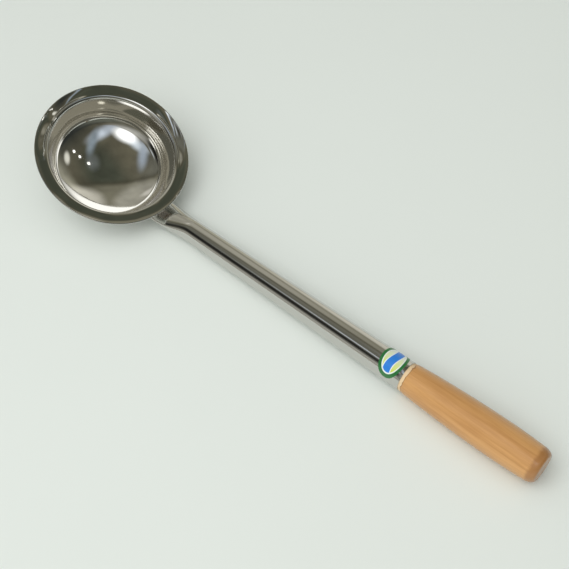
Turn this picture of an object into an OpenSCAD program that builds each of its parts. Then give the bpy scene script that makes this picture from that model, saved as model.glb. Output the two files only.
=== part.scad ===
// Soup ladle: a pressed steel bowl with a wide brim, a hollow tapered steel handle that is
// flattened and welded under the brim, and a turned wooden grip seated in the handle's open end.
// It lies as it rests on a table: on the underside of the bowl and on the belly of the grip.
// +X runs along the handle towards the grip, +Z is up, and the origin is midway along, at table height.

/* [Bowl] */
// Outside diameter of the brim
brim_d = 118; // [106:1:126]
// Inside diameter of the bowl at the foot of its straight wall
wall_foot_d = 88.9; // [87:0.1:91]
// Depth from the top of the brim to the inside of the bottom
bowl_depth = 36; // [34:0.5:39]
// Inside radius of the shallow curve of the bottom
bottom_r = 78; // [73:1:84]
// Inside radius of the tighter curve of the side
side_r = 14; // [11:0.5:17]
// Steepness of the straight wall, in degrees
wall_angle = 76; // [72:1:80]
// Thickness of the pressed steel
bowl_t = 1.2; // [0.8:0.1:1.6]
// Inside radius of the bend from the wall into the brim
lip_r = 2.4; // [1.5:0.1:3.5]
// Upward slope of the brim towards its edge, in degrees
brim_rise = 4; // [0:0.5:6]
// Slope of the brim at its very edge, where it curls up, in degrees
curl_rise = 17; // [8:1:24]
// Inside radius of the curl at the edge
curl_r = 14; // [8:1:20]

/* [Handle] */
// Angle between the handle and the plane of the brim, in degrees
handle_rise = 22; // [18:0.5:28]
// Distance of the handle's axis below the top of the brim, at the brim's edge
handle_drop = 10; // [9:0.5:13]
// Outside diameter of the tube at the brim's edge
tube_small_d = 16.8; // [15:0.1:18]
// Outside diameter of the tube at its open end
tube_big_d = 22.6; // [21:0.1:24]
// Length of the tube from the brim's edge to its open end
tube_len = 229.5; // [180:0.5:260]
// Wall of the tube
tube_t = 1; // [0.8:0.1:1.4]
// Length of the stretch that is pressed flat, from the brim's edge
neck_len = 30; // [20:1:40]
// Width of the flattened end
neck_w = 22.6; // [19:0.2:25]
// Height of the flattened end
neck_h = 9.2; // [8:0.1:12]
// How far the flattened end lies below the tube's axis
neck_sink = 1; // [0.5:0.1:2]
// Width of the weld on the bowl and on the handle
weld_w = 1.9; // [1.5:0.1:2.4]

/* [Grip] */
// Largest diameter of the grip
grip_d = 28.3; // [27:0.1:31]
// Length of the grip outside the tube
grip_len = 111.5; // [100:0.5:130]
// Distance from the front of the grip to its thickest part
belly_at = 76; // [65:1:85]
// Diameter of the grip behind its front chamfer
front_d = 22.9; // [22.6:0.1:25]
// Length of the raw chamfer at the front
front_chamfer = 2.6; // [1.5:0.1:3.5]
// Depth of the raw chamfer at the front
front_chamfer_depth = 0.6; // [0.4:0.1:0.9]
// Diameter of the grip where the butt chamfer begins
butt_d = 26.6; // [24:0.1:26.9]
// Length of the butt chamfer
butt_chamfer = 7.5; // [5:0.5:10]
// Diameter of the flat end of the butt
butt_face_d = 19; // [15:0.5:21]
// Length of the tenon inside the tube
tenon_len = 34; // [25:1:45]
// Gap between the tenon and the tube
tenon_gap = 0.15; // [0.1:0.05:0.3]

/* [Nail] */
// Diameter of the nail's shank
nail_d = 1.8; // [1.4:0.1:2.4]
// Length of the nail under its head
nail_len = 12; // [8:0.5:16]
// Diameter of the nail's head
nail_head_d = 3.6; // [3:0.1:4.5]
// Thickness of the nail's head
nail_head_t = 0.6; // [0.4:0.1:1]
// Distance of the nail from the open end of the tube
nail_inset = 10; // [6:0.5:16]
// Gap between the nail and its hole
nail_gap = 0.05; // [0.03:0.01:0.1]

/* [Label] */
// Length of the oval label round the tube
label_long = 31.5; // [24:0.5:33]
// Width of the oval label along the tube
label_wide = 18.6; // [14:0.2:22]
// Thickness of the label
label_t = 0.15; // [0.1:0.05:0.3]
// Distance from the label's near edge to the open end of the tube
label_inset = 2.4; // [1.5:0.1:20]
// Turn of the label from the top of the tube towards -Y, in degrees
label_turn = 1; // [0:1:30]

/* [Hidden] */

// Facets of a full circle, and of a ring of the neck
round_fn = 180;
neck_fn = 48;
// Rings along the neck, points along each stretch of the grip's outline, and degrees between arc points
neck_rings = 12;
outline_steps = 14;
arc_step = 3;
// Small overlap that keeps cuts clean
eps = 0.01;
// Root gap between the neck and the bowl, the lap of the neck inside the tube's wall with the skin
// left over it, and the gap under the label
root_gap = 0.1;
lap = 0.5;
lap_skin = 0.06;
label_gap = 0.03;

brim_r = brim_d / 2;
foot_r = wall_foot_d / 2;
small_r = tube_small_d / 2;
big_r = tube_big_d / 2;

// Bowl section: centres of the bottom and side curves, both on the inside
bottom_z = bottom_r - bowl_depth;
turn_angle = asin((foot_r - side_r * sin(wall_angle)) / (bottom_r - side_r));
side_c = [(bottom_r - side_r) * sin(turn_angle), bottom_z - (bottom_r - side_r) * cos(turn_angle)];
wall_top = side_c + side_r * down_at(wall_angle);
// Brim section: the rounded edge, the curl, the straight brim and the bend into the wall
edge_c = [brim_r - bowl_t / 2, -bowl_t / 2];
curl_c = edge_c - (bowl_t / 2 + curl_r) * down_at(curl_rise);
brim_start = curl_c + curl_r * down_at(brim_rise);
lip_out = lip_r + bowl_t;
lip_c = meet(wall_top + lip_out * down_at(wall_angle), wall_angle,
             brim_start + lip_out * down_at(brim_rise), brim_rise);

// Handle: the grip's front and belly, as distances from the brim's edge along the axis
belly_t = tube_len + belly_at;
belly_r = grip_d / 2;
front_r = front_d / 2;
butt_r = butt_d / 2;
front_rho = bulge_r(belly_at - front_chamfer, belly_r - front_r);
rear_rho = bulge_r(grip_len - butt_chamfer - belly_at, belly_r - butt_r);
butt_t = tube_len + grip_len;

// Rest: the line that touches the bottom of the bowl and the belly of the grip
rest_bowl_r = bottom_r + bowl_t;
rest_grip = axis_point(belly_t) + (front_rho - belly_r) * [-sin(handle_rise), cos(handle_rise)];
rest_step = rest_grip - [0, bottom_z];
tilt = atan2(rest_step[1], rest_step[0]) - asin((front_rho - rest_bowl_r) / norm(rest_step));
pitch = handle_rise - tilt;
lift = rest_bowl_r - turned([0, bottom_z])[1];
far_x = turned([-brim_r, -bowl_t / 2])[0];
near_x = turned(axis_point(butt_t))[0] + butt_face_d / 2 * sin(pitch);
shift = -(far_x + near_x) / 2;

// Direction that lies at an angle from straight down, towards the brim
function down_at(a) = [sin(a), -cos(a)];
// Points of an arc between two such angles
function arc(centre, r, from, to) =
    let (n = max(2, ceil(abs(to - from) / arc_step)))
    [for (i = [0:n]) centre + r * down_at(from + (to - from) * i / n)];
// Points of the bowl's wall at a depth s under its inner face, from the middle to the wall's top
function wall_line(s) =
    concat(arc([0, bottom_z], bottom_r + s, 0, turn_angle), arc(side_c, side_r + s, turn_angle, wall_angle));
// The same face carried on round the lip and along the brim to its edge
function brim_line(s) =
    concat(arc(lip_c, lip_out - s, 180 + wall_angle, 180 + brim_rise),
           arc(curl_c, curl_r + s, brim_rise, curl_rise));
function reversed(list) = [for (i = [len(list) - 1:-1:0]) list[i]];
// Point where the line through p at angle a meets the line through q at angle b
function meet(p, a, q, b) =
    p + [cos(a), sin(a)] * (((q - p)[0] * sin(b) - (q - p)[1] * cos(b)) / (cos(a) * sin(b) - sin(a) * cos(b)));
// Radius of the arc that drops by drop over the length run
function bulge_r(run, drop) = (run * run + drop * drop) / (2 * drop);
// A point of the handle's axis, in the bowl's own plane of symmetry
function axis_point(t) = [brim_r + t * cos(handle_rise), -handle_drop + t * sin(handle_rise)];
// The same point once the bowl is tipped to its resting tilt
function turned(p) = [p[0] * cos(tilt) + p[1] * sin(tilt), p[1] * cos(tilt) - p[0] * sin(tilt)];
// Outside radius of the tapered tube at a distance from the brim's edge
function tube_r(t) = small_r + (big_r - small_r) * t / tube_len;
// Smooth step from 0 to 1
function ease(u) = u * u * (3 - 2 * u);

// Places its children in the bowl's frame: +Z out of the bowl, brim at zero height
module in_bowl() {
    translate([shift, 0, lift]) rotate([0, tilt, 0]) children();
}

// Places its children on the handle: +Z along it towards the grip, -X upwards
module on_handle() {
    in_bowl() translate([brim_r, 0, -handle_drop]) rotate([0, 90 - handle_rise, 0]) children();
}

// Right half of the bowl's section: inner face out to the rounded edge, and back along the outer face
module bowl_section() {
    polygon(concat(wall_line(0), brim_line(0),
                   arc(edge_c, bowl_t / 2, 180 + curl_rise - arc_step, curl_rise + arc_step),
                   reversed(brim_line(bowl_t)), reversed(wall_line(bowl_t))));
}

// Everything inside the bowl's outer face, grown by a margin
module bowl_core(grow) {
    lip_foot = lip_c + (lip_r - grow) * down_at(180 + wall_angle);
    rotate_extrude($fn = round_fn)
        polygon(concat(wall_line(bowl_t + grow), [lip_foot, [lip_foot[0], 0], [0, 0]]));
}

// Closed tube through rings of points, where the last ring joins the first
module ring_loop(rings) {
    n = len(rings[0]);
    m = len(rings);
    points = [for (ring = rings) each ring];
    faces = [for (k = [0:m - 1]) for (i = [0:n - 1])
        let (k2 = (k + 1) % m, i2 = (i + 1) % n)
        each [[k * n + i, k2 * n + i2, k2 * n + i], [k * n + i, k * n + i2, k2 * n + i2]]];
    polyhedron(points = points, faces = faces);
}

// Ring of the neck at distance t: an oval that grows into the round tube, inset from the outside
function neck_ring(t, inset) =
    let (u = t < 0 ? 0 : ease(min(1, t / neck_len)),
         half_h = neck_h / 2 + (tube_r(neck_len) - neck_h / 2) * u - inset,
         half_w = neck_w / 2 + (tube_r(neck_len) - neck_w / 2) * u - inset,
         sink = neck_sink * (1 - u))
    [for (i = [0:neck_fn - 1]) let (a = -360 * i / neck_fn)
        [sink + half_h * cos(a), half_w * sin(a), t]];

// Hollow neck between an outer and an inner face, given as insets, from under the bowl to its end
module neck_shell(outer, inner, end) {
    stations = concat([-brim_r / 2], [for (k = [0:neck_rings]) neck_len * k / neck_rings],
                      end > neck_len ? [end] : []);
    ring_loop(concat([for (t = stations) neck_ring(t, outer)],
                     [for (t = reversed(stations)) neck_ring(t, inner)]));
}

module bowl() {
    color("silver") in_bowl() rotate_extrude($fn = round_fn) bowl_section();
}

module handle_tube() {
    color("lightsteelblue") difference() {
        on_handle() union() {
            rotate_extrude($fn = round_fn)
                polygon([[tube_r(neck_len), neck_len], [big_r, tube_len],
                         [big_r - tube_t, tube_len], [tube_r(neck_len) - tube_t, neck_len]]);
            neck_shell(lap_skin, tube_t - lap_skin, neck_len + lap);
        }
        in_bowl() bowl_core(root_gap);
        on_handle() nail_hole();
    }
}

// Weld metal in the corner between the neck and the underside of the bowl
module weld_bead() {
    color("gray") difference() {
        intersection() {
            on_handle() neck_shell(-weld_w, lap_skin - root_gap, neck_len);
            in_bowl() bowl_core(weld_w);
        }
        in_bowl() bowl_core(0);
    }
}

// Outline of the grip: tenon, raw chamfer, long swell, butt chamfer and flat end
module grip_outline() {
    tenon_r0 = tube_r(tube_len - tenon_len) - tube_t - tenon_gap;
    tenon_r1 = big_r - tube_t - tenon_gap;
    front_end = tube_len + front_chamfer;
    butt_start = butt_t - butt_chamfer;
    front_arc = [for (i = [0:outline_steps]) let (t = front_end + (belly_t - front_end) * i / outline_steps)
        [arc_drop(front_rho, t), t]];
    rear_arc = [for (i = [1:outline_steps]) let (t = belly_t + (butt_start - belly_t) * i / outline_steps)
        [arc_drop(rear_rho, t), t]];
    butt_arc = [for (i = [1:outline_steps]) let (a = 90 * i / outline_steps)
        [butt_face_d / 2 + (butt_r - butt_face_d / 2) * cos(a), butt_start + butt_chamfer * sin(a)]];
    polygon(concat([[0, tube_len - tenon_len], [tenon_r0 - 1, tube_len - tenon_len],
                    [tenon_r0, tube_len - tenon_len + 2], [tenon_r1, tube_len],
                    [front_r - front_chamfer_depth, tube_len]],
                   front_arc, rear_arc, butt_arc, [[0, butt_t]]));
}

// Radius of the grip at t on an arc whose crown is at the belly
function arc_drop(rho, t) = belly_r - rho + sqrt(rho * rho - (t - belly_t) * (t - belly_t));

module grip() {
    color("burlywood") on_handle() difference() {
        rotate_extrude($fn = round_fn) grip_outline();
        nail_hole();
    }
}

// Distance of the nail from the brim's edge, and the tube's outside radius there
nail_t = tube_len - nail_inset;
nail_seat = tube_r(nail_t) + 0.02;

// Hole for the nail through the underside of the tube and into the tenon
module nail_hole() {
    translate([nail_seat - nail_len - nail_gap, 0, nail_t]) rotate([0, 90, 0])
        cylinder(d = nail_d + 2 * nail_gap, h = nail_len + 2 * nail_head_t, $fn = 48);
}

module grip_nail() {
    color("dimgray") on_handle() translate([nail_seat - nail_len, 0, nail_t]) rotate([0, 90, 0]) {
        cylinder(d = nail_d, h = nail_len + eps, $fn = 48);
        translate([0, 0, nail_len]) cylinder(d = nail_head_d, h = nail_head_t, $fn = 48);
    }
}

module label() {
    label_t0 = tube_len - label_inset - label_wide;
    mid_t = label_t0 + label_wide / 2;
    inner = tube_r(label_t0) + label_gap;
    slope = (big_r - small_r) / tube_len * label_wide;
    steps = 4 * outline_steps;
    color("limegreen") on_handle() rotate([0, 0, 180 + label_turn]) intersection() {
        difference() {
            translate([0, 0, label_t0])
                cylinder(r1 = inner + label_t, r2 = inner + slope + label_t, h = label_wide, $fn = round_fn);
            translate([0, 0, label_t0 - eps])
                cylinder(r1 = inner, r2 = inner + slope, h = label_wide + 2 * eps, $fn = round_fn);
        }
        translate([0, 0, mid_t]) rotate([0, 90, 0]) linear_extrude(height = 2 * big_r)
            polygon([for (i = [0:steps - 1]) let (a = 360 * i / steps)
                [label_wide / 2 * cos(a), wrap_y(label_long / 2 * sin(a), tube_r(mid_t))]]);
    }
}

// Sideways reach of a point that lies a given length round the tube
function wrap_y(arc, r) = r * sin(arc / r * 180 / PI);

bowl();
handle_tube();
weld_bead();
grip();
grip_nail();
label();
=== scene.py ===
"""Looks of a steel soup ladle with a turned wooden grip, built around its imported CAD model.

Each piece is made again as a smooth mesh in the place that the frame gives it, and gets a
procedural finish. All lengths are in metres and all angles in degrees, unless a name says otherwise.
"""

import logging
from dataclasses import dataclass, field
from enum import Enum
from functools import cached_property
from math import asin, atan2, ceil, cos, degrees, hypot, pi, radians, sin, sqrt
from typing import Any, Callable

import bmesh
import bpy
from mathutils import Matrix, Quaternion, Vector, noise


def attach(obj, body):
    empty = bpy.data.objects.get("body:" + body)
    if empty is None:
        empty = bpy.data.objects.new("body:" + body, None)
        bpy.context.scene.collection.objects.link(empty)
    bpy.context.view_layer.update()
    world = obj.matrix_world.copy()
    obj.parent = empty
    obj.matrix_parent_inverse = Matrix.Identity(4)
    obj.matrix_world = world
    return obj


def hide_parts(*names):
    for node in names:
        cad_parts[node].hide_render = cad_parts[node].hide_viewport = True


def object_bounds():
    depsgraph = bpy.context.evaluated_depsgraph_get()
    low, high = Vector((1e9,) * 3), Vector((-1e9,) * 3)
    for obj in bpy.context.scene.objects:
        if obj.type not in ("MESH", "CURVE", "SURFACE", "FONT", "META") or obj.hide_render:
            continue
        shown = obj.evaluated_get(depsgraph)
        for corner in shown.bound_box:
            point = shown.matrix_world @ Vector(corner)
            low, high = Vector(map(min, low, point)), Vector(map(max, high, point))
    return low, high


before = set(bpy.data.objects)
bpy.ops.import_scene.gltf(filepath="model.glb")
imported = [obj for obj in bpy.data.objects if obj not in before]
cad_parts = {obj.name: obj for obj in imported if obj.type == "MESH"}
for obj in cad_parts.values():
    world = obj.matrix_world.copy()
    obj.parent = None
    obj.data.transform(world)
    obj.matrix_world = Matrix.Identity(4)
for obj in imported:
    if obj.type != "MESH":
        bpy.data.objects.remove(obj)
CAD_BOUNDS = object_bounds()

MM = 0.001
BODY = "root"
log = logging.getLogger("ladle")


class Slot(Enum):
    """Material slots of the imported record."""

    BOWL = "polished_steel"
    TUBE = "handle_steel"
    WELD = "weld_metal"
    GRIP = "grip_wood"
    NAIL = "nail_steel"
    LABEL = "label_film"


def down_at(angle: float) -> Vector:
    """Returns the direction in the XZ plane that lies at an angle from straight down, towards +X."""
    return Vector((sin(radians(angle)), 0.0, -cos(radians(angle))))


def towards(azimuth: float, elevation: float) -> Vector:
    """Returns the direction at an azimuth from +X towards +Y and an elevation over the floor."""
    level = cos(radians(elevation))
    return Vector((level * cos(radians(azimuth)), level * sin(radians(azimuth)), sin(radians(elevation))))


def arc(centre: Vector, radius: float, start: float, stop: float, step: float = 1.5) -> list[Vector]:
    """Points of an arc in the XZ plane.

    Args:
        centre: Centre of the arc.
        radius: Radius of the arc.
        start: First angle, from straight down towards +X.
        stop: Last angle.
        step: Largest angle between two points.

    Returns:
        The points, with both ends.
    """
    count = max(2, ceil(abs(stop - start) / step))
    return [centre + radius * down_at(start + (stop - start) * i / count) for i in range(count + 1)]


def meet(p: Vector, p_angle: float, q: Vector, q_angle: float) -> Vector:
    """Crossing of two lines in the XZ plane.

    Args:
        p: A point of the first line.
        p_angle: Rise of the first line.
        q: A point of the second line.
        q_angle: Rise of the second line.

    Returns:
        The point where they cross.
    """
    along_p = Vector((cos(radians(p_angle)), 0.0, sin(radians(p_angle))))
    along_q = Vector((cos(radians(q_angle)), 0.0, sin(radians(q_angle))))
    gap = q - p
    reach = (gap.x * along_q.z - gap.z * along_q.x) / (along_p.x * along_q.z - along_p.z * along_q.x)
    return p + along_p * reach


def ease(share: float) -> float:
    """Returns a smooth step from 0 to 1."""
    share = min(1.0, max(0.0, share))
    return share * share * (3.0 - 2.0 * share)


def lathe(outline: list[Vector], steps: int) -> bmesh.types.BMesh:
    """Turns an outline in the XZ plane about the Z axis.

    Args:
        outline: Points from one end on the axis to the other.
        steps: Steps of a full turn.

    Returns:
        A closed mesh with its faces outwards.
    """
    mesh = bmesh.new()
    verts = [mesh.verts.new(point) for point in outline]
    edges = [mesh.edges.new(pair) for pair in zip(verts, verts[1:])]
    bmesh.ops.spin(mesh, geom=[*verts, *edges], cent=(0.0, 0.0, 0.0), axis=(0.0, 0.0, 1.0),
                   angle=2.0 * pi, steps=steps, use_merge=True)
    return closed(mesh)


def wrapped_grid(columns: int, rows: int, place: Callable[[float, float], Vector]) -> bmesh.types.BMesh:
    """Bends a flat grid into a closed form.

    Args:
        columns: Faces across.
        rows: Faces along.
        place: Gives the point for a place on the grid, from 0 to 1 both ways.

    Returns:
        The mesh, with edges that meet merged and its faces outwards.
    """
    mesh = bmesh.new()
    bmesh.ops.create_grid(mesh, x_segments=columns, y_segments=rows, size=0.5)
    for vert in mesh.verts:
        vert.co = place(vert.co.x + 0.5, vert.co.y + 0.5)
    return closed(mesh)


def closed(mesh: bmesh.types.BMesh) -> bmesh.types.BMesh:
    """Merges points that meet, drops faces without area and turns all faces outwards."""
    bmesh.ops.remove_doubles(mesh, verts=mesh.verts[:], dist=0.002 * MM)
    bmesh.ops.dissolve_degenerate(mesh, edges=mesh.edges[:], dist=0.001 * MM)
    bmesh.ops.recalc_face_normals(mesh, faces=mesh.faces[:])
    return mesh


def piece(name: str, mesh: bmesh.types.BMesh, place: Matrix, slot: Slot, nodes: tuple[str, ...],
          material: bpy.types.Material, sharp: float = 40.0) -> bpy.types.Object:
    """Args:
        name: The piece's name.
        mesh: The mesh in its own frame. It is freed.
        place: The matrix from that frame to the row's.
        slot: The record's material slot; not used.
        nodes: The CAD nodes that the piece stands for.
        material: The finish.
        sharp: Angle between faces past which an edge stays sharp.

    Returns:
        The object, at the origin, with its place in its mesh.
    """
    bmesh.ops.transform(mesh, matrix=place, verts=mesh.verts[:])
    data = bpy.data.meshes.new(name)
    mesh.to_mesh(data)
    mesh.free()
    data.polygons.foreach_set("use_smooth", [True] * len(data.polygons))
    data.set_sharp_from_angle(angle=radians(sharp))
    data.materials.append(material)
    made = bpy.data.objects.new(name, data)
    bpy.context.scene.collection.objects.link(made)
    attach(made, BODY)
    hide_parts(*nodes)
    log.info("%s: %d faces", name, len(data.polygons))
    return made


class Nodes:
    """Adds nodes to one tree and links them."""

    def __init__(self, tree: bpy.types.NodeTree) -> None:
        """Keeps the tree that the nodes go into."""
        self.tree = tree

    def add(self, kind: str, inputs: dict[Any, Any] | None = None, **settings: Any) -> bpy.types.Node:
        """Adds a node.

        Args:
            kind: The node's type.
            inputs: Values or sockets for its inputs, by name or number.
            settings: Properties of the node.

        Returns:
            The node.
        """
        node = self.tree.nodes.new(kind)
        for key, value in settings.items():
            setattr(node, key, value)
        for key, value in (inputs or {}).items():
            if isinstance(value, bpy.types.NodeSocket):
                self.tree.links.new(value, node.inputs[key])
            else:
                node.inputs[key].default_value = value
        return node

    def math(self, operation: str, *values: Any) -> bpy.types.NodeSocket:
        """Returns the output of a Math node."""
        return self.add("ShaderNodeMath", dict(enumerate(values)), operation=operation).outputs[0]

    def step(self, value: Any, low: float, high: float) -> bpy.types.NodeSocket:
        """Returns a smooth step of a value from 0 at low to 1 at high."""
        inputs = {"Value": value, "From Min": low, "From Max": high}
        return self.add("ShaderNodeMapRange", inputs, interpolation_type="SMOOTHSTEP").outputs[0]

    def mix(self, share: Any, first: Any, second: Any) -> bpy.types.NodeSocket:
        """Returns the mix of two colours."""
        inputs = {0: share, 6: first, 7: second}
        return self.add("ShaderNodeMix", inputs, data_type="RGBA").outputs[2]

    def place(self, matrix: Matrix) -> bpy.types.NodeSocket:
        """Returns Object coordinates in a piece's own frame.

        Args:
            matrix: The matrix from the piece's frame to the row's.

        Returns:
            The vector.
        """
        coords = self.add("ShaderNodeTexCoord").outputs["Object"]
        inputs = {"Vector": coords, "Location": matrix.to_translation(),
                  "Rotation": matrix.to_euler("XYZ")}
        return self.add("ShaderNodeMapping", inputs, vector_type="TEXTURE").outputs[0]


def new_material(name: str) -> tuple[bpy.types.Material, Nodes, bpy.types.Node]:
    """Makes a material with one Principled shader.

    Args:
        name: The material's name.

    Returns:
        The material, its nodes and the shader.
    """
    material = bpy.data.materials.new(name)
    material.use_nodes = True
    return material, Nodes(material.node_tree), material.node_tree.nodes["Principled BSDF"]


def polish_group() -> bpy.types.NodeTree:
    """Builds the marks that polishing and use leave on steel.

    Returns:
        A group that takes the direction across the polishing lines and puts out a mask and a height.
    """
    tree = bpy.data.node_groups.get("polish_marks")
    if tree:
        return tree
    tree = bpy.data.node_groups.new("polish_marks", "ShaderNodeTree")
    tree.interface.new_socket("Across", in_out="INPUT", socket_type="NodeSocketVector")
    tree.interface.new_socket("Place", in_out="INPUT", socket_type="NodeSocketVector")
    tree.interface.new_socket("Lines", in_out="INPUT", socket_type="NodeSocketFloat")
    tree.interface.new_socket("Mask", in_out="OUTPUT", socket_type="NodeSocketFloat")
    tree.interface.new_socket("Height", in_out="OUTPUT", socket_type="NodeSocketFloat")
    nodes = Nodes(tree)
    given = nodes.add("NodeGroupInput")
    fine = nodes.add("ShaderNodeTexNoise", {"Vector": given.outputs["Across"], "Scale": given.outputs["Lines"],
                                            "Detail": 3.0, "Roughness": 0.65})
    haze = nodes.add("ShaderNodeTexNoise", {"Vector": given.outputs["Place"], "Scale": 38.0, "Detail": 4.0})
    mask = nodes.math("MULTIPLY", nodes.step(haze.outputs[0], 0.35, 0.75), fine.outputs[0])
    nodes.add("NodeGroupOutput", {"Mask": mask, "Height": fine.outputs[0]})
    return tree


@dataclass(frozen=True)
class Steel:
    """Polished stainless steel with fine lines from the polishing wheel, and a faint painted glow on rays that have met
    steel more than three times.
    """

    name: str
    colour: tuple[float, float, float, float] = (0.61, 0.60, 0.575, 1.0)
    roughness: float = 0.10
    haze: float = 0.10
    lines: float = 900.0
    bump: float = 0.05
    turned: bool = True
    waves: float = 0.0
    dips: tuple[tuple[float, float, float, float, float], ...] = ()

    def build(self, place: Matrix) -> bpy.types.Material:
        """Makes the material.

        Args:
            place: The matrix from the piece's frame, whose Z axis the polishing follows, to the row's.

        Returns:
            The material.
        """
        material, nodes, shader = new_material(self.name)
        local = nodes.place(place)
        parts = nodes.add("ShaderNodeSeparateXYZ", {0: local})
        reach = nodes.math("SQRT", nodes.math("ADD", nodes.math("MULTIPLY", parts.outputs[0], parts.outputs[0]),
                                              nodes.math("MULTIPLY", parts.outputs[1], parts.outputs[1])))
        if self.turned:
            across = nodes.add("ShaderNodeCombineXYZ", {0: reach, 2: parts.outputs[2]}).outputs[0]
        else:
            across = nodes.add("ShaderNodeVectorMath", {0: local, 1: (1.0, 1.0, 0.03)}, operation="MULTIPLY").outputs[0]
        marks = nodes.add("ShaderNodeGroup", node_tree=polish_group())
        nodes.tree.links.new(across, marks.inputs["Across"])
        nodes.tree.links.new(local, marks.inputs["Place"])
        marks.inputs["Lines"].default_value = self.lines
        rough = nodes.math("MULTIPLY_ADD", marks.outputs["Mask"], self.haze, self.roughness)
        bump = nodes.add("ShaderNodeBump", {"Strength": self.bump, "Distance": 0.01 * MM,
                                            "Height": marks.outputs["Height"]})
        if self.waves:
            swell = nodes.add("ShaderNodeTexNoise", {"Vector": local, "Scale": 36.0, "Detail": 1.0}).outputs[0]
            height = nodes.math("MULTIPLY", nodes.math("SUBTRACT", swell, 0.5), self.waves / MM)
            around = nodes.math("ARCTAN2", parts.outputs[1], parts.outputs[0])
            for angle, width, radius, slant, depth in self.dips:
                off = nodes.math("WRAP", nodes.math("SUBTRACT", around, radians(angle)), pi, -pi)
                inside = nodes.math("SUBTRACT", nodes.math("MULTIPLY_ADD", off, slant, radius), reach)
                low = nodes.math("MULTIPLY", nodes.step(nodes.math("ABSOLUTE", off), radians(width), 0.0),
                                 nodes.step(inside, -4.0 * MM, 4.0 * MM))
                height = nodes.math("MULTIPLY_ADD", low, -depth / MM, height)
            height = nodes.math("MULTIPLY", height, nodes.step(reach, 50.5 * MM, 52.5 * MM))
            wavy = nodes.add("ShaderNodeBump", {"Distance": MM, "Height": height})
            nodes.tree.links.new(wavy.outputs[0], bump.inputs["Normal"])
        # Painted glow: the steel gives off faint light of its own colour on rays that have bounced more than three
        # times between steel faces, standing in for the reflected light lost there.
        deep_bounce_glow = nodes.math("GREATER_THAN", nodes.add("ShaderNodeLightPath").outputs["Glossy Depth"], 3.5)
        nodes.tree.links.new(nodes.math("MULTIPLY", deep_bounce_glow, 0.6), shader.inputs["Emission Strength"])
        shader.inputs["Emission Color"].default_value = self.colour
        shader.inputs["Base Color"].default_value = self.colour
        shader.inputs["Metallic"].default_value = 1.0
        nodes.tree.links.new(rough, shader.inputs["Roughness"])
        nodes.tree.links.new(bump.outputs[0], shader.inputs["Normal"])
        return material


@dataclass(frozen=True)
class WeldMetal:
    """Raw weld metal with ripples and heat tint."""

    name: str = "weld_metal"
    bright: tuple[float, float, float, float] = (0.46, 0.44, 0.41, 1.0)
    tint: tuple[float, float, float, float] = (0.30, 0.21, 0.14, 1.0)

    def build(self) -> bpy.types.Material:
        """Returns the material."""
        material, nodes, shader = new_material(self.name)
        coords = nodes.add("ShaderNodeTexCoord").outputs["Object"]
        spots = nodes.add("ShaderNodeTexNoise", {"Vector": coords, "Scale": 420.0, "Detail": 4.0})
        share = nodes.step(spots.outputs[0], 0.42, 0.68)
        bump = nodes.add("ShaderNodeBump", {"Strength": 0.5, "Distance": 0.1 * MM, "Height": spots.outputs[0]})
        nodes.tree.links.new(nodes.mix(share, self.bright, self.tint), shader.inputs["Base Color"])
        nodes.tree.links.new(nodes.math("MULTIPLY_ADD", share, 0.2, 0.28), shader.inputs["Roughness"])
        nodes.tree.links.new(bump.outputs[0], shader.inputs["Normal"])
        shader.inputs["Metallic"].default_value = 1.0
        return material


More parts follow.
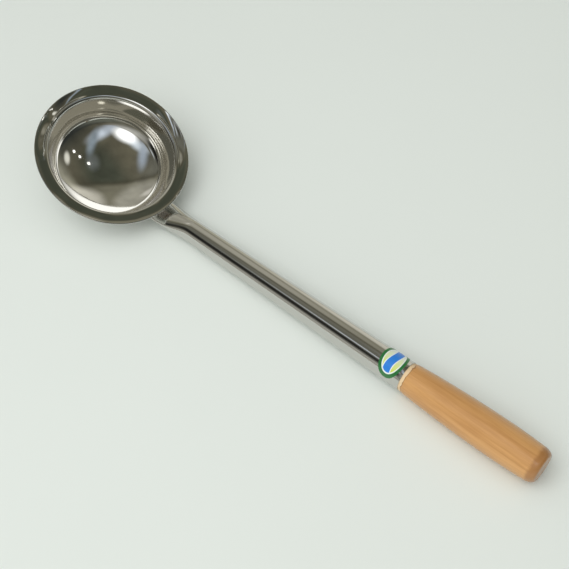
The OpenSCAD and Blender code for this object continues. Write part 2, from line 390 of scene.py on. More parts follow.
@dataclass(frozen=True)
class Wood:
    """Turned hardwood under clear lacquer, raw on the front chamfer and darker on the end grain, with a thin painted
    shade line along the raw chamfer's edge.
    """

    name: str = "grip_wood"
    light: tuple[float, float, float, float] = (0.64, 0.335, 0.115, 1.0)
    dark: tuple[float, float, float, float] = (0.43, 0.19, 0.048, 1.0)
    raw: tuple[float, float, float, float] = (0.76, 0.56, 0.34, 1.0)
    end: tuple[float, float, float, float] = (0.34, 0.145, 0.038, 1.0)
    # Painted shade colour for the thin line along the raw chamfer's edge.
    groove_shade: tuple[float, float, float, float] = (0.20, 0.075, 0.02, 1.0)
    raw_until: float = 0.0
    end_from: float = 0.0

    def build(self, place: Matrix) -> bpy.types.Material:
        """Makes the material.

        Args:
            place: The matrix from the grip's frame, whose Z axis is the grain, to the row's.

        Returns:
            The material.
        """
        material, nodes, shader = new_material(self.name)
        local = nodes.place(place)
        along = nodes.add("ShaderNodeSeparateXYZ", {0: local}).outputs[2]
        drawn = nodes.add("ShaderNodeVectorMath", {0: local, 1: (1.0, 1.0, 0.045)}, operation="MULTIPLY").outputs[0]
        fibre = nodes.add("ShaderNodeTexNoise", {"Vector": drawn, "Scale": 750.0, "Detail": 5.0, "Roughness": 0.6})
        bands = nodes.add("ShaderNodeTexNoise", {"Vector": drawn, "Scale": 130.0, "Detail": 3.0, "Distortion": 0.6})
        broad = nodes.add("ShaderNodeTexNoise", {"Vector": local, "Scale": 28.0, "Detail": 2.0})
        share = nodes.math("ADD", nodes.math("MULTIPLY", nodes.step(bands.outputs[0], 0.32, 0.72), 0.55),
                           nodes.math("MULTIPLY", nodes.step(fibre.outputs[0], 0.35, 0.75), 0.30))
        share = nodes.math("ADD", share, nodes.math("MULTIPLY", nodes.step(broad.outputs[0], 0.4, 0.7), 0.15))
        colour = nodes.mix(share, self.light, self.dark)
        uneven = nodes.add("ShaderNodeTexNoise", {"Vector": local, "Scale": 170.0, "Detail": 2.0})
        edge = nodes.math("ADD", along, nodes.math("MULTIPLY_ADD", uneven.outputs[0], 4.0 * MM, -2.0 * MM))
        front = nodes.step(edge, self.raw_until + 0.2 * MM, self.raw_until - 0.2 * MM)
        # Painted shade: a thin dark line along the uneven edge of the raw chamfer, standing in for the shade in the
        # groove at the grip's front.
        from_shade_line = nodes.math("ABSOLUTE", nodes.math("SUBTRACT", edge, self.raw_until + 0.2 * MM))
        colour = nodes.mix(front, colour, self.raw)
        colour = nodes.mix(nodes.math("MULTIPLY", nodes.step(from_shade_line, 0.5 * MM, 0.1 * MM), 0.7), colour, self.groove_shade)
        butt = nodes.step(edge, self.end_from - 1.6 * MM, self.end_from + 1.6 * MM)
        colour = nodes.mix(nodes.math("MULTIPLY", butt, 0.8), colour, self.end)
        bump = nodes.add("ShaderNodeBump", {"Strength": 0.12, "Distance": 0.05 * MM, "Height": fibre.outputs[0]})
        nodes.tree.links.new(colour, shader.inputs["Base Color"])
        nodes.tree.links.new(nodes.math("MULTIPLY_ADD", front, 0.25, 0.42), shader.inputs["Roughness"])
        nodes.tree.links.new(bump.outputs[0], shader.inputs["Normal"])
        nodes.tree.links.new(nodes.math("MULTIPLY_ADD", front, -0.6, 0.6), shader.inputs["Coat Weight"])
        shader.inputs["Coat Roughness"].default_value = 0.16
        return material


@dataclass(frozen=True)
class LabelPrint:
    """Generic print of a sticker: a green border, a white ring, a blue band on a lime ground."""

    name: str = "label_print"
    green: tuple[float, float, float, float] = (0.012, 0.15, 0.03, 1.0)
    white: tuple[float, float, float, float] = (0.80, 0.84, 0.80, 1.0)
    lime: tuple[float, float, float, float] = (0.56, 0.64, 0.05, 1.0)
    blue: tuple[float, float, float, float] = (0.012, 0.20, 0.68, 1.0)

    def build(self) -> bpy.types.Material:
        """Returns the material."""
        material, nodes, shader = new_material(self.name)
        flat = nodes.add("ShaderNodeUVMap").outputs[0]
        centred = nodes.add("ShaderNodeVectorMath", {0: flat, 1: (2.0, 2.0, 0.0), 2: (-1.0, -1.0, 0.0)},
                            operation="MULTIPLY_ADD").outputs[0]
        parts = nodes.add("ShaderNodeSeparateXYZ", {0: centred})
        reach = nodes.add("ShaderNodeVectorMath", {0: centred}, operation="LENGTH").outputs["Value"]
        ground = nodes.mix(nodes.step(parts.outputs[1], -0.75, 0.75), self.white, self.lime)
        wave = nodes.math("MULTIPLY", nodes.math("SINE", nodes.math("MULTIPLY", parts.outputs[1], 4.0)), 0.10)
        off = nodes.math("ABSOLUTE", nodes.math("ADD", parts.outputs[0], wave))
        colour = nodes.mix(nodes.step(off, 0.40, 0.36), ground, self.white)
        colour = nodes.mix(nodes.step(off, 0.33, 0.29), colour, self.blue)
        colour = nodes.mix(nodes.step(reach, 0.69, 0.72), colour, self.white)
        colour = nodes.mix(nodes.step(reach, 0.76, 0.79), colour, self.green)
        nodes.tree.links.new(colour, shader.inputs["Base Color"])
        shader.inputs["Roughness"].default_value = 0.32
        shader.inputs["Coat Weight"].default_value = 0.5
        shader.inputs["Coat Roughness"].default_value = 0.15
        return material


@dataclass
class Bowl:
    """Pressed steel bowl: a round bottom, a straight sloping wall and a wide brim that curls up at its edge."""

    brim_radius: float = 59.0 * MM
    foot_radius: float = 44.45 * MM
    depth: float = 36.0 * MM
    bottom_radius: float = 78.0 * MM
    side_radius: float = 14.0 * MM
    wall_angle: float = 76.0
    sheet: float = 1.2 * MM
    lip_radius: float = 2.4 * MM
    brim_rise: float = 4.0
    curl_rise: float = 17.0
    curl_radius: float = 14.0 * MM
    steps: int = 240

    @cached_property
    def bottom_centre(self) -> Vector:
        """Centre of the bottom's curve."""
        return Vector((0.0, 0.0, self.bottom_radius - self.depth))

    @cached_property
    def turn_angle(self) -> float:
        """Angle at which the bottom's curve passes into the side's."""
        run = self.foot_radius - self.side_radius * sin(radians(self.wall_angle))
        return degrees(asin(run / (self.bottom_radius - self.side_radius)))

    @cached_property
    def side_centre(self) -> Vector:
        """Centre of the side's curve."""
        return self.bottom_centre + (self.bottom_radius - self.side_radius) * down_at(self.turn_angle)

    @cached_property
    def wall_foot(self) -> Vector:
        """Point of the inner face where the side's curve passes into the straight wall."""
        return self.side_centre + self.side_radius * down_at(self.wall_angle)

    @cached_property
    def edge_centre(self) -> Vector:
        """Centre of the rounded edge of the brim."""
        return Vector((self.brim_radius - self.sheet / 2, 0.0, -self.sheet / 2))

    @cached_property
    def curl_centre(self) -> Vector:
        """Centre of the curl near the edge."""
        return self.edge_centre - (self.sheet / 2 + self.curl_radius) * down_at(self.curl_rise)

    @cached_property
    def lip_centre(self) -> Vector:
        """Centre of the bend from the wall into the brim."""
        bend = self.lip_radius + self.sheet
        brim_start = self.curl_centre + self.curl_radius * down_at(self.brim_rise)
        return meet(self.wall_foot + bend * down_at(self.wall_angle), self.wall_angle,
                    brim_start + bend * down_at(self.brim_rise), self.brim_rise)

    def wall(self, depth: float) -> list[Vector]:
        """Returns the wall's line at a depth under its inner face, from the middle to its top."""
        return (arc(self.bottom_centre, self.bottom_radius + depth, 0.0, self.turn_angle)
                + arc(self.side_centre, self.side_radius + depth, self.turn_angle, self.wall_angle))

    def brim(self, depth: float) -> list[Vector]:
        """Returns the line that goes on round the lip and along the brim to its edge."""
        bend = self.lip_radius + self.sheet - depth
        return (arc(self.lip_centre, bend, 180.0 + self.wall_angle, 180.0 + self.brim_rise, 4.0)
                + arc(self.curl_centre, self.curl_radius + depth, self.brim_rise, self.curl_rise))

    def outline(self) -> list[Vector]:
        """Returns the section's outline: the inner face, the rounded edge and the outer face."""
        edge = arc(self.edge_centre, self.sheet / 2, 180.0 + self.curl_rise, self.curl_rise, 15.0)
        outer = self.wall(self.sheet) + self.brim(self.sheet)
        return self.wall(0.0) + self.brim(0.0) + edge + outer[::-1]

    def outside(self, point: Vector) -> float:
        """Distance of a point outside the bowl's outer wall.

        Args:
            point: A point in the bowl's frame, below the brim.

        Returns:
            The distance, below 0 inside.
        """
        flat = Vector((hypot(point.x, point.y), 0.0, point.z))
        from_side = flat - self.side_centre
        angle = degrees(atan2(from_side.x, -from_side.z))
        if angle > self.wall_angle:
            return (flat - self.wall_foot).dot(down_at(self.wall_angle)) - self.sheet
        if angle > self.turn_angle:
            return from_side.length - self.side_radius - self.sheet
        return (flat - self.bottom_centre).length - self.bottom_radius - self.sheet

    def build(self, place: Matrix) -> bpy.types.Object:
        """Makes the bowl.

        Args:
            place: The matrix from the bowl's frame to the row's.

        Returns:
            The piece.
        """
        dips = ((65.0, 38.0, 55.0 * MM, 7.0 * MM, 3.4 * MM), (182.0, 32.0, 55.0 * MM, -7.5 * MM, 2.4 * MM),
                (-145.0, 24.0, 54.5 * MM, 0.0, -2.2 * MM))
        finish = Steel("bowl_steel", roughness=0.04, haze=0.06, bump=0.02, waves=1.2 * MM, dips=dips).build(place)
        return piece("ladle_bowl", lathe(self.outline(), self.steps), place, Slot.BOWL, ("bowl",), finish)


@dataclass
class HandleTube:
    """Hollow tapered tube, squeezed to an oval at the end that meets the bowl."""

    bowl: Bowl
    rise: float = 22.0
    drop: float = 10.0 * MM
    small_radius: float = 8.4 * MM
    big_radius: float = 11.3 * MM
    length: float = 229.5 * MM
    wall: float = 1.0 * MM
    neck_length: float = 30.0 * MM
    neck_half_width: float = 11.3 * MM
    neck_half_height: float = 4.6 * MM
    neck_sink: float = 1.0 * MM
    gap: float = 0.1 * MM
    columns: int = 128

    @cached_property
    def to_bowl(self) -> Matrix:
        """Matrix from the tube's frame, +Z along it and -X up, to the bowl's."""
        start = Matrix.Translation((self.bowl.brim_radius, 0.0, -self.drop))
        return start @ Matrix.Rotation(radians(90.0 - self.rise), 4, "Y")

    def radius(self, t: float) -> float:
        """Returns the outside radius at a distance from the brim's edge."""
        return self.small_radius + (self.big_radius - self.small_radius) * t / self.length

    def point(self, turn: float, t: float, inset: float) -> Vector:
        """A point of the tube's wall.

        Args:
            turn: Angle round the tube in radians, from the underside.
            t: Distance from the brim's edge along the axis.
            inset: Depth under the outer face.

        Returns:
            The point in the tube's frame.
        """
        share = ease(t / self.neck_length)
        round_radius = self.radius(max(t, self.neck_length))
        height = self.neck_half_height + (round_radius - self.neck_half_height) * share - inset
        width = self.neck_half_width + (round_radius - self.neck_half_width) * share - inset
        return Vector((self.neck_sink * (1.0 - share) + height * cos(turn), width * sin(turn), t))

    def root(self, turn: float, inset: float, margin: float) -> float:
        """Distance along the axis at which a line of the wall meets the bowl.

        Args:
            turn: Angle round the tube in radians.
            inset: Depth under the outer face.
            margin: Gap to the bowl's outer face.

        Returns:
            The distance from the brim's edge, below 0.
        """
        low, high = -0.6 * self.bowl.brim_radius, 0.0
        for _ in range(40):
            middle = (low + high) / 2
            if self.bowl.outside(self.to_bowl @ self.point(turn, middle, inset)) > margin:
                high = middle
            else:
                low = middle
        return high

    def section(self) -> list[tuple[float, float, float]]:
        """Stations of the wall's closed section.

        Returns:
            For each station the share from the root to the brim's edge, the distance past that edge
            and the depth under the outer face.
        """
        neck_rows, taper_rows, lip = 28, 60, 0.25 * self.wall
        under = [(k / 10, 0.0) for k in range(10)]
        past = [(1.0, self.neck_length * k / neck_rows) for k in range(neck_rows)]
        straight = self.length - lip - self.neck_length
        past += [(1.0, self.neck_length + straight * k / taper_rows) for k in range(taper_rows + 1)]
        outer = [(share, t, 0.0) for share, t in under + past]
        groove_shade = [(1.0, self.length - lip * (1.0 - sin(a)), lip * (1.0 - cos(a)))
               for a in (radians(30.0), radians(60.0), radians(90.0))]
        inner = [(share, t, self.wall) for share, t in (under + past)[::-1]]
        groove_shade += [(share, t, self.wall - depth) for share, t, depth in groove_shade[::-1]]
        return outer + groove_shade + inner

    def build(self, place: Matrix) -> bpy.types.Object:
        """Makes the tube.

        Args:
            place: The matrix from the tube's frame to the row's.

        Returns:
            The piece.
        """
        section = self.section()
        section.append(section[0])
        rows = len(section) - 1
        roots: dict[tuple[float, float], float] = {}

        def wall_point(across: float, along: float) -> Vector:
            """Returns the wall's point for a place on the grid."""
            share, t, inset = section[round(along * rows)]
            turn = 2.0 * pi * round(across * self.columns) / self.columns
            if share < 1.0:
                key = (round(turn, 6), inset)
                roots.setdefault(key, self.root(turn, inset, self.gap))
                t = roots[key] * (1.0 - share)
            return self.point(turn, t, inset)

        mesh = wrapped_grid(self.columns, rows, wall_point)
        finish = Steel("tube_steel", roughness=0.07, bump=0.02, turned=False).build(place)
        return piece("ladle_handle_tube", mesh, place, Slot.TUBE, ("handle_tube",), finish)


@dataclass
class WeldBead:
    """Rippled weld metal in the corner between the neck and the underside of the bowl."""

    tube: HandleTube
    radius: float = 1.3 * MM
    stand_off: float = 0.7 * MM
    ripples: int = 34
    ripple_depth: float = 0.14
    columns: int = 340
    rows: int = 16

    def centre(self, turn: float) -> Vector:
        """Returns the middle of the bead at an angle round the tube, in the tube's frame."""
        tube = self.tube
        t = tube.root(turn, 0.0, 0.0)
        surface = tube.point(turn, t, 0.0)
        outward = (tube.point(turn, t, -self.stand_off) - surface).normalized()
        return surface + (outward + Vector((0.0, 0.0, 1.0))).normalized() * self.stand_off

    def build(self, place: Matrix) -> bpy.types.Object:
        """Makes the bead.

        Args:
            place: The matrix from the tube's frame to the row's.

        Returns:
            The piece.
        """
        path = [self.centre(2.0 * pi * k / self.columns) for k in range(self.columns)]

        def bead_point(across: float, along: float) -> Vector:
            """Returns the bead's point for a place on the grid."""
            k = round(across * self.columns) % self.columns
            ahead = (path[(k + 1) % self.columns] - path[k - 1]).normalized()
            side = ahead.cross(Vector((0.0, 0.0, 1.0))).normalized()
            groove_shade = ahead.cross(side)
            phase = (k * self.ripples / self.columns) % 1.0
            swell = 1.0 - self.ripple_depth * (1.0 - sqrt(1.0 - phase * phase))
            swell += 0.06 * noise.noise(path[k] * 300.0)
            turn = 2.0 * pi * along
            return path[k] + (side * cos(turn) + groove_shade * sin(turn)) * self.radius * swell

        mesh = wrapped_grid(self.columns, self.rows, bead_point)
        return piece("ladle_weld_bead", mesh, place, Slot.WELD, ("weld_bead",), WeldMetal().build())


@dataclass
class Grip:
    """Turned wooden grip with a tenon in the tube, a raw front chamfer and a flat butt."""

    tube: HandleTube
    radius: float = 14.15 * MM
    length: float = 111.5 * MM
    belly: float = 76.0 * MM
    front_radius: float = 11.45 * MM
    chamfer: float = 2.6 * MM
    chamfer_depth: float = 0.6 * MM
    butt_radius: float = 13.3 * MM
    butt_chamfer: float = 7.5 * MM
    butt_face_radius: float = 9.5 * MM
    tenon: float = 34.0 * MM
    tenon_gap: float = 0.15 * MM
    steps: int = 160

    @cached_property
    def start(self) -> float:
        """Distance of the grip's front from the brim's edge."""
        return self.tube.length

    def bulge(self, run: float, drop: float) -> float:
        """Returns the radius of the arc that drops by drop over the length run."""
        return (run * run + drop * drop) / (2.0 * drop)

    @cached_property
    def front_bulge(self) -> float:
        """Radius of the swell in front of the belly."""
        return self.bulge(self.belly - self.chamfer, self.radius - self.front_radius)

    @cached_property
    def rear_bulge(self) -> float:
        """Radius of the swell behind the belly."""
        return self.bulge(self.length - self.butt_chamfer - self.belly, self.radius - self.butt_radius)

    def swell(self, rho: float, t: float) -> float:
        """Returns the grip's radius at a distance along it, on an arc of radius rho."""
        return self.radius - rho + sqrt(rho * rho - (t - self.belly) ** 2)

    def outline(self) -> list[Vector]:
        """Returns the grip's outline from the tenon's end to the butt."""
        tube, rows = self.tube, 30
        narrow = tube.radius(self.start - self.tenon) - tube.wall - self.tenon_gap
        wide = tube.big_radius - tube.wall - self.tenon_gap
        rise = self.length - self.butt_chamfer
        points = [(0.0, -self.tenon), (narrow - MM, -self.tenon), (narrow, 2.0 * MM - self.tenon), (wide, 0.0),
                  (self.front_radius - self.chamfer_depth, 0.0)]
        points += [(self.front_radius - self.chamfer_depth * (1.0 - k / 4), self.chamfer * k / 4) for k in range(1, 4)]
        points += [(self.swell(self.front_bulge, t), t)
                   for t in (self.chamfer + (self.belly - self.chamfer) * k / rows for k in range(rows + 1))]
        points += [(self.swell(self.rear_bulge, t), t)
                   for t in (self.belly + (rise - self.belly) * k / rows for k in range(1, rows + 1))]
        points += [(self.butt_face_radius + (self.butt_radius - self.butt_face_radius) * cos(a),
                    rise + self.butt_chamfer * sin(a)) for a in (radians(6.0 * k) for k in range(1, 16))]
        points += [(self.butt_face_radius * k / 4, self.length) for k in (3, 2, 1, 0)]
        return [Vector((r, 0.0, self.start + t)) for r, t in points]

    def roughen(self, mesh: bmesh.types.BMesh) -> None:
        """Cuts the front chamfer unevenly, as a knife leaves it."""
        for vert in mesh.verts:
            t = vert.co.z - self.start
            reach = hypot(vert.co.x, vert.co.y)
            if -0.01 * MM < t < self.chamfer + 2.5 * MM and reach > self.tube.big_radius - 0.5 * MM:
                turn = atan2(vert.co.y, vert.co.x)
                cut = noise.noise(Vector((cos(turn) * 2.4, sin(turn) * 2.4, 7.0)))
                cut += 0.5 * noise.noise(Vector((cos(turn) * 7.0, sin(turn) * 7.0, 3.0)))
                fade = 1.0 - t / (self.chamfer + 2.5 * MM)
                scale = 1.0 - max(0.0, cut) * 0.55 * MM * fade / reach
                vert.co.x *= scale
                vert.co.y *= scale

    def build(self, place: Matrix) -> bpy.types.Object:
        """Makes the grip.

        Args:
            place: The matrix from the tube's frame to the row's.

        Returns:
            The piece.
        """
        mesh = lathe(self.outline(), self.steps)
        self.roughen(mesh)
        finish = Wood(raw_until=self.start + self.chamfer,
                      end_from=self.start + self.length - self.butt_chamfer + 1.0 * MM).build(place)
        return piece("ladle_grip", mesh, place, Slot.GRIP, ("grip",), finish, sharp=28.0)


@dataclass
class Nail:
    """Small nail through the underside of the tube into the tenon."""

    tube: HandleTube
    shank_radius: float = 0.9 * MM
    length: float = 12.0 * MM
    head_radius: float = 1.8 * MM
    head: float = 0.6 * MM
    inset: float = 10.0 * MM
    lift: float = 0.02 * MM

    def build(self, place: Matrix) -> bpy.types.Object:
        """Makes the nail.

        Args:
            place: The matrix from the tube's frame to the row's.

        Returns:
            The piece.
        """
        point = 2.0 * MM
        outline = [Vector((0.0, 0.0, 0.0)), Vector((self.shank_radius * 0.25, 0.0, 0.15 * MM)),
                   Vector((self.shank_radius, 0.0, point)), Vector((self.shank_radius, 0.0, self.length)),
                   Vector((self.head_radius * 0.96, 0.0, self.length)),
                   Vector((self.head_radius, 0.0, self.length + 0.12 * MM))]
        dome = [Vector((self.head_radius * cos(a), 0.0, self.length + 0.12 * MM + (self.head - 0.12 * MM) * sin(a)))
                for a in (radians(10.0 * k) for k in range(1, 10))]
        seat = self.tube.length - self.inset
        reach = self.tube.radius(seat) + self.lift - self.length
        stand = Matrix.Translation((reach, 0.0, seat)) @ Matrix.Rotation(radians(90.0), 4, "Y")
        finish = Steel("nail_steel", colour=(0.45, 0.44, 0.42, 1.0), roughness=0.25).build(place @ stand)
        mesh = lathe(outline + dome, 32)
        return piece("ladle_nail", mesh, place @ stand, Slot.NAIL, ("grip_nail",), finish)


@dataclass
class Label:
    """Thin oval sticker that lies round the tube."""

    tube: HandleTube
    round_length: float = 31.5 * MM
    width: float = 18.6 * MM
    thickness: float = 0.15 * MM
    inset: float = 2.4 * MM
    turn: float = 1.0
    gap: float = 0.03 * MM
    cells: int = 56

    @cached_property
    def middle(self) -> float:
        """Distance of the label's middle from the brim's edge."""
        return self.tube.length - self.inset - self.width / 2

    def bent(self, along: float, arc_length: float, lift: float) -> Vector:
        """A point of the label once it is bent round the tube.

        Args:
            along: Distance along the tube from the label's middle.
            arc_length: Distance round the tube from the label's middle.
            lift: Height over the label's underside.

        Returns:
            The point in the tube's frame.
        """
        radius = self.tube.radius(self.middle + along) + self.gap
        angle = pi + radians(self.turn) + arc_length / self.tube.radius(self.middle)
        return Vector(((radius + lift) * cos(angle), (radius + lift) * sin(angle), self.middle + along))

    def build(self, place: Matrix) -> bpy.types.Object:
        """Makes the label.

        Args:
            place: The matrix from the tube's frame to the row's.

        Returns:
            The piece, with its flat layout as its UV map.
        """
        mesh = bmesh.new()
        bmesh.ops.create_grid(mesh, x_segments=self.cells, y_segments=self.cells, size=1.0)
        for vert in mesh.verts:
            x, y = vert.co.x, vert.co.y
            vert.co = Vector((x * sqrt(1.0 - y * y / 2.0), y * sqrt(1.0 - x * x / 2.0), 0.0))
        top = bmesh.ops.extrude_face_region(mesh, geom=mesh.faces[:], use_keep_orig=True)
        for item in top["geom"]:
            if isinstance(item, bmesh.types.BMVert):
                item.co.z = 1.0
        layer = mesh.loops.layers.uv.new("UVMap")
        for face in mesh.faces:
            for loop in face.loops:
                loop[layer].uv = (loop.vert.co.x / 2 + 0.5, loop.vert.co.y / 2 + 0.5)
        for vert in mesh.verts:
            vert.co = self.bent(vert.co.x * self.width / 2, vert.co.y * self.round_length / 2,
                                vert.co.z * self.thickness)
        bmesh.ops.recalc_face_normals(mesh, faces=mesh.faces[:])
        return piece("ladle_label", mesh, place, Slot.LABEL, ("label",), LabelPrint().build())


@dataclass
class Ladle:
    """The whole ladle, lying on the bottom of its bowl and the belly of its grip."""

    bowl: Bowl = field(default_factory=Bowl)

    def __post_init__(self) -> None:
        """Makes the sub-assemblies from the shared sizes."""
        self.tube = HandleTube(self.bowl)
        self.weld = WeldBead(self.tube)
        self.grip = Grip(self.tube)
        self.nail = Nail(self.tube)
        self.label = Label(self.tube)

    def axis_point(self, t: float) -> Vector:
        """Returns a point of the handle's axis in the bowl's frame."""
        return self.tube.to_bowl @ Vector((0.0, 0.0, t))

    @cached_property
    def tilt(self) -> float:
        """Tilt of the bowl at rest, in radians: the line that touches both bottoms lies level."""
        bowl_reach = self.bowl.bottom_radius + self.bowl.sheet
        up = Vector((-sin(radians(self.tube.rise)), 0.0, cos(radians(self.tube.rise))))
        belly = self.axis_point(self.grip.start + self.grip.belly)
        step = belly + (self.grip.front_bulge - self.grip.radius) * up - self.bowl.bottom_centre
        return atan2(step.z, step.x) - asin((self.grip.front_bulge - bowl_reach) / step.length)

    @cached_property
    def to_row(self) -> Matrix:
        """Matrix from the bowl's frame to the row's."""
        turn = Matrix.Rotation(self.tilt, 4, "Y")
        lift = self.bowl.bottom_radius + self.bowl.sheet - (turn @ self.bowl.bottom_centre).z
        high = CAD_BOUNDS[1]
        butt = turn @ self.axis_point(self.grip.start + self.grip.length)
        pitch = radians(self.tube.rise) - self.tilt
        shift = high.x - butt.x - self.grip.butt_face_radius * sin(pitch)
        return Matrix.Translation((shift, 0.0, lift)) @ turn

    def build(self) -> None:
        """Makes all the pieces."""
        on_handle = self.to_row @ self.tube.to_bowl
        self.bowl.build(self.to_row)
        self.tube.build(on_handle)
        self.weld.build(on_handle)
        self.grip.build(on_handle)
        self.nail.build(on_handle)
        self.label.build(on_handle)


@dataclass(frozen=True)
class Lamp:
    """A soft rectangular lamp that points at the ladle and that steel doesn't show."""

    name: str
    azimuth: float
    elevation: float
    size: float
    power: float
    colour: tuple[float, float, float]
    distance: float = 1.8

    def build(self) -> None:
        """Adds the lamp to the scene."""
        data = bpy.data.lights.new(self.name, "AREA")
        data.size = self.size
        data.energy = self.power
        data.color = self.colour
        lamp = bpy.data.objects.new(self.name, data)
        direction = towards(self.azimuth, self.elevation)
        lamp.location = direction * self.distance
        lamp.rotation_euler = direction.to_track_quat("Z", "Y").to_euler()
        lamp.visible_glossy = False
        bpy.context.scene.collection.objects.link(lamp)


@dataclass(frozen=True)
class Patch:
    """An oval part of the room, with soft edges, that the steel reflects."""

    azimuth: float
    elevation: float
    width: float
    height: float
    colour: tuple[float, float, float, float]
    soft: float = 0.4
    roll: float = 0.0

    def share(self, nodes: Nodes, direction: bpy.types.NodeSocket) -> bpy.types.NodeSocket:
        """Adds the patch's mask to the world.

        Args:
            nodes: The world's nodes.
            direction: The direction that is looked up.

        Returns:
            1 inside the patch and 0 outside.
        """
        middle = towards(self.azimuth, self.elevation)
        turn = middle.to_track_quat("Z", "Y") @ Quaternion((0.0, 0.0, 1.0), radians(self.roll))
        size = (sin(radians(self.width)), sin(radians(self.height)), 1.0)
        inputs = {"Vector": direction, "Rotation": turn.to_euler("XYZ"), "Scale": size}
        seen = nodes.add("ShaderNodeMapping", inputs, vector_type="TEXTURE").outputs[0]
        flat = nodes.add("ShaderNodeVectorMath", {0: seen, 1: (1.0, 1.0, 0.0)}, operation="MULTIPLY").outputs[0]
        reach = nodes.add("ShaderNodeVectorMath", {0: flat}, operation="LENGTH").outputs["Value"]
        ahead = nodes.math("GREATER_THAN", nodes.add("ShaderNodeSeparateXYZ", {0: seen}).outputs[2], 0.0)
        return nodes.math("MULTIPLY", nodes.step(reach, 1.0 + self.soft, 1.0 - self.soft), ahead)


@dataclass
class Studio:
    """Pale floor, soft lamps, the room's reflection and the camera."""

    floor_colour: tuple[float, float, float, float] = (0.80, 0.835, 0.79, 1.0)
    fill: tuple[float, float, float, float] = (0.98, 1.0, 0.98, 1.0)
    far_fill: tuple[float, float, float, float] = (0.20, 0.21, 0.20, 1.0)
    ceiling: tuple[float, float, float, float] = (0.165, 0.155, 0.11, 1.0)
    walls: tuple[float, float, float, float] = (0.46, 0.45, 0.38, 1.0)
    second: tuple[float, float, float, float] = (0.24, 0.24, 0.20, 1.0)
    third: tuple[float, float, float, float] = (0.85, 0.83, 0.70, 1.0)
    walls_from: float = 14.0
    walls_until: float = 5.0
    focal_length: float = 75.9
    camera_at: tuple[float, float, float] = (0.3122, -0.3945, 0.7282)
    camera_turn: tuple[float, float, float] = (35.42, -1.042, 39.69)

    def lamps(self) -> list[Lamp]:
        """Returns the lamps: a key on the camera's left, a weaker one behind and an even fill."""
        return [
            Lamp("key", 262.0, 60.0, 0.8, 3.8, (0.96, 0.98, 1.0), distance=1.15),
            Lamp("back", 35.0, 45.0, 0.8, 0.7, (1.0, 0.97, 0.92)),
            Lamp("overhead", 0.0, 90.0, 2.0, 5.0, (1.0, 0.99, 0.96)),
        ]

    def patches(self) -> list[Patch]:
        """Returns the parts of the room that stand out: dark and pale walls, a window with its halo and a few spots."""
        window = (3.0, 3.1, 3.2, 1.0)
        spot = (4.0, 4.0, 3.8, 1.0)
        return [
            Patch(75.0, 62.0, 38.0, 21.0, (0.082, 0.09, 0.066, 1.0), soft=0.5),
            Patch(215.0, 50.0, 34.0, 24.0, (0.17, 0.17, 0.14, 1.0), soft=0.6),
            Patch(272.0, 34.0, 30.0, 14.0, (0.40, 0.40, 0.36, 1.0), soft=0.6),
            Patch(142.0, 36.0, 48.0, 34.5, (0.085, 0.08, 0.055, 1.0), soft=0.12),
            Patch(142.0, 36.0, 44.0, 31.0, (0.25, 0.24, 0.18, 1.0), soft=0.1),
            Patch(153.0, 36.0, 24.0, 28.0, (0.46, 0.45, 0.38, 1.0), soft=0.2),
            Patch(100.0, 8.0, 46.0, 20.0, (0.50, 0.49, 0.39, 1.0), soft=0.3),
            Patch(102.0, 20.0, 13.0, 20.0, (0.80, 0.78, 0.68, 1.0), soft=0.35),
            Patch(48.0, 54.0, 8.0, 6.0, (0.20, 0.22, 0.21, 1.0), soft=0.7),
            Patch(163.0, 47.0, 7.0, 3.0, (0.90, 0.88, 0.80, 1.0), soft=0.6),
            Patch(18.0, 8.0, 46.0, 24.0, (0.045, 0.05, 0.045, 1.0), soft=0.5),
            Patch(335.0, 8.0, 28.0, 14.0, (0.16, 0.17, 0.14, 1.0), soft=0.6),
            Patch(242.0, 51.0, 8.0, 3.0, (0.62, 0.67, 0.72, 1.0), soft=0.8),
            Patch(237.0, 34.0, 20.0, 11.0, (0.02, 0.02, 0.018, 1.0), soft=0.5),
            Patch(251.0, 12.0, 16.0, 6.0, (0.50, 0.50, 0.46, 1.0), soft=0.5),
            Patch(300.0, 44.0, 22.0, 12.0, (0.60, 0.60, 0.56, 1.0), soft=0.8),
            Patch(284.0, 65.0, 12.0, 4.5, (0.85, 0.95, 1.05, 1.0), soft=0.8, roll=-10.0),
            Patch(252.0, 71.0, 13.0, 4.5, (0.50, 0.58, 0.68, 1.0), soft=0.8, roll=-38.0),
            Patch(350.0, 45.0, 17.0, 5.0, (0.75, 0.85, 0.98, 1.0), soft=0.8),
            Patch(16.0, 45.5, 13.0, 4.0, (0.33, 0.40, 0.46, 1.0), soft=0.8, roll=18.0),
            Patch(316.0, 56.0, 10.5, 5.6, window, soft=0.9, roll=-28.0),
            Patch(52.0, 49.6, 1.3, 1.3, spot),
            Patch(46.4, 39.6, 1.3, 1.3, spot),
            Patch(43.5, 32.4, 1.3, 1.3, spot),
            Patch(55.7, 25.6, 6.0, 3.0, (0.95, 0.95, 0.85, 1.0), soft=0.5),
        ]

    def second_patches(self) -> list[Patch]:
        """Returns what stands out for light that meets steel twice inside the bowl."""
        window = (2.7, 2.75, 2.75, 1.0)
        return [
            Patch(0.0, 89.0, 20.0, 20.0, (1.60, 1.58, 1.42, 1.0), soft=0.2),
            Patch(0.0, 52.0, 22.0, 8.0, (1.20, 1.20, 1.10, 1.0), soft=0.5),
            Patch(342.0, 36.0, 8.0, 6.0, (1.20, 1.20, 1.10, 1.0), soft=0.5),
            Patch(22.0, 19.0, 11.0, 5.0, window, soft=0.5),
            Patch(306.0, 31.0, 12.0, 8.5, (2.80, 2.85, 2.85, 1.0), soft=0.4),
        ]

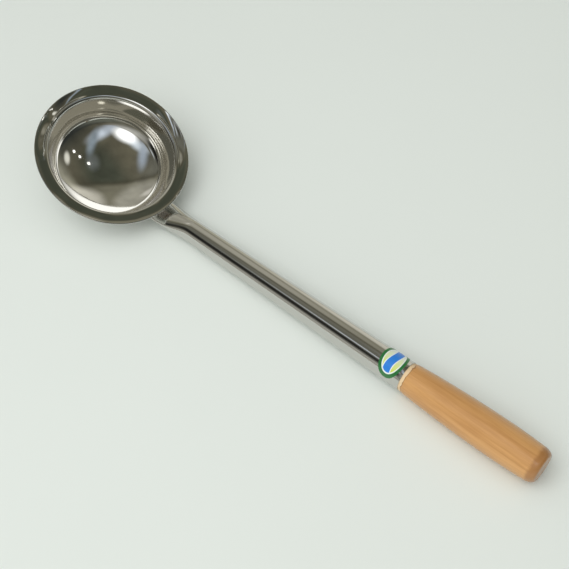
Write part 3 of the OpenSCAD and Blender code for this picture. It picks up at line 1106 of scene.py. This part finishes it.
    def third_patches(self) -> list[Patch]:
        """Returns what stands out for light that meets steel more often."""
        return [
            Patch(75.0, 51.0, 34.0, 12.0, (0.36, 0.37, 0.30, 1.0), soft=0.2),
            Patch(350.0, 20.0, 45.0, 17.0, (0.34, 0.35, 0.30, 1.0), soft=0.2),
            Patch(60.0, 84.0, 13.0, 10.0, (0.45, 0.45, 0.38, 1.0), soft=0.4),
            Patch(200.0, 79.0, 4.0, 3.0, (3.50, 3.50, 3.20, 1.0), soft=0.5),
            Patch(0.0, 50.0, 14.0, 6.5, (4.50, 4.60, 4.60, 1.0), soft=0.4),
            Patch(28.0, 38.0, 15.0, 9.0, (0.26, 0.25, 0.19, 1.0), soft=0.3),
        ]

    def build_floor(self) -> None:
        """Makes the floor."""
        mesh = bmesh.new()
        bmesh.ops.create_grid(mesh, x_segments=1, y_segments=1, size=3.0)
        data = bpy.data.meshes.new("floor")
        mesh.to_mesh(data)
        mesh.free()
        material, nodes, shader = new_material("floor_paper")
        coords = nodes.add("ShaderNodeTexCoord").outputs["Object"]
        mottle = nodes.add("ShaderNodeTexNoise", {"Vector": coords, "Scale": 9.0, "Detail": 2.0})
        shade = tuple(channel * 0.985 for channel in self.floor_colour[:3]) + (1.0,)
        nodes.tree.links.new(nodes.mix(mottle.outputs[0], self.floor_colour, shade), shader.inputs["Base Color"])
        shader.inputs["Roughness"].default_value = 0.85
        data.materials.append(material)
        floor = bpy.data.objects.new("floor", data)
        bpy.context.scene.collection.objects.link(floor)

    def build_world(self) -> None:
        """Makes the world: an even fill for the light, and the room for what steel reflects."""
        world = bpy.data.worlds.new("room")
        bpy.context.scene.world = world
        world.use_nodes = True
        nodes = Nodes(world.node_tree)
        background = world.node_tree.nodes["Background"]
        direction = nodes.add("ShaderNodeTexCoord").outputs["Generated"]
        height = nodes.add("ShaderNodeSeparateXYZ", {0: direction}).outputs[2]
        low = nodes.step(height, sin(radians(self.walls_from)), sin(radians(self.walls_until)))
        rooms: list[Any] = [nodes.mix(low, self.ceiling, self.walls), self.second, self.third]
        for number, patches in enumerate((self.patches(), self.second_patches(), self.third_patches())):
            for patch in patches:
                rooms[number] = nodes.mix(patch.share(nodes, direction), rooms[number], patch.colour)
        mottle = nodes.add("ShaderNodeTexNoise", {"Vector": direction, "Scale": 3.5, "Detail": 2.0}).outputs[0]
        dim = nodes.math("MULTIPLY_ADD", mottle, 1.0, 0.5)
        colour = nodes.add("ShaderNodeVectorMath", {0: rooms[0], "Scale": dim}, operation="SCALE").outputs[0]
        path = nodes.add("ShaderNodeLightPath")
        for number in (1, 2):
            later = nodes.math("GREATER_THAN", path.outputs["Glossy Depth"], number + 0.5)
            colour = nodes.mix(later, colour, rooms[number])
        side = nodes.add("ShaderNodeVectorMath", {0: direction, 1: towards(262.0, 0.0)}, operation="DOT_PRODUCT")
        fill = nodes.mix(nodes.step(side.outputs["Value"], -0.8, 0.8), self.far_fill, self.fill)
        seen = nodes.mix(path.outputs["Is Glossy Ray"], fill, colour)
        world.node_tree.links.new(seen, background.inputs["Color"])

    def build_camera(self) -> None:
        """Makes the camera at the photograph's viewing angle."""
        data = bpy.data.cameras.new("camera")
        data.lens = self.focal_length
        data.clip_end = 20.0
        camera = bpy.data.objects.new("camera", data)
        camera.location = self.camera_at
        camera.rotation_euler = [radians(angle) for angle in self.camera_turn]
        bpy.context.scene.collection.objects.link(camera)
        bpy.context.scene.camera = camera

    def build(self) -> None:
        """Makes the whole studio."""
        self.build_camera()
        self.build_floor()
        self.build_world()
        for lamp in self.lamps():
            lamp.build()
        bpy.context.scene.view_settings.view_transform = "Standard"


def main() -> None:
    """Builds the ladle and its studio."""
    logging.basicConfig(level=logging.INFO, format="%(name)s: %(message)s")
    Studio().build()
    Ladle().build()


if __name__ == "__main__":
    main()
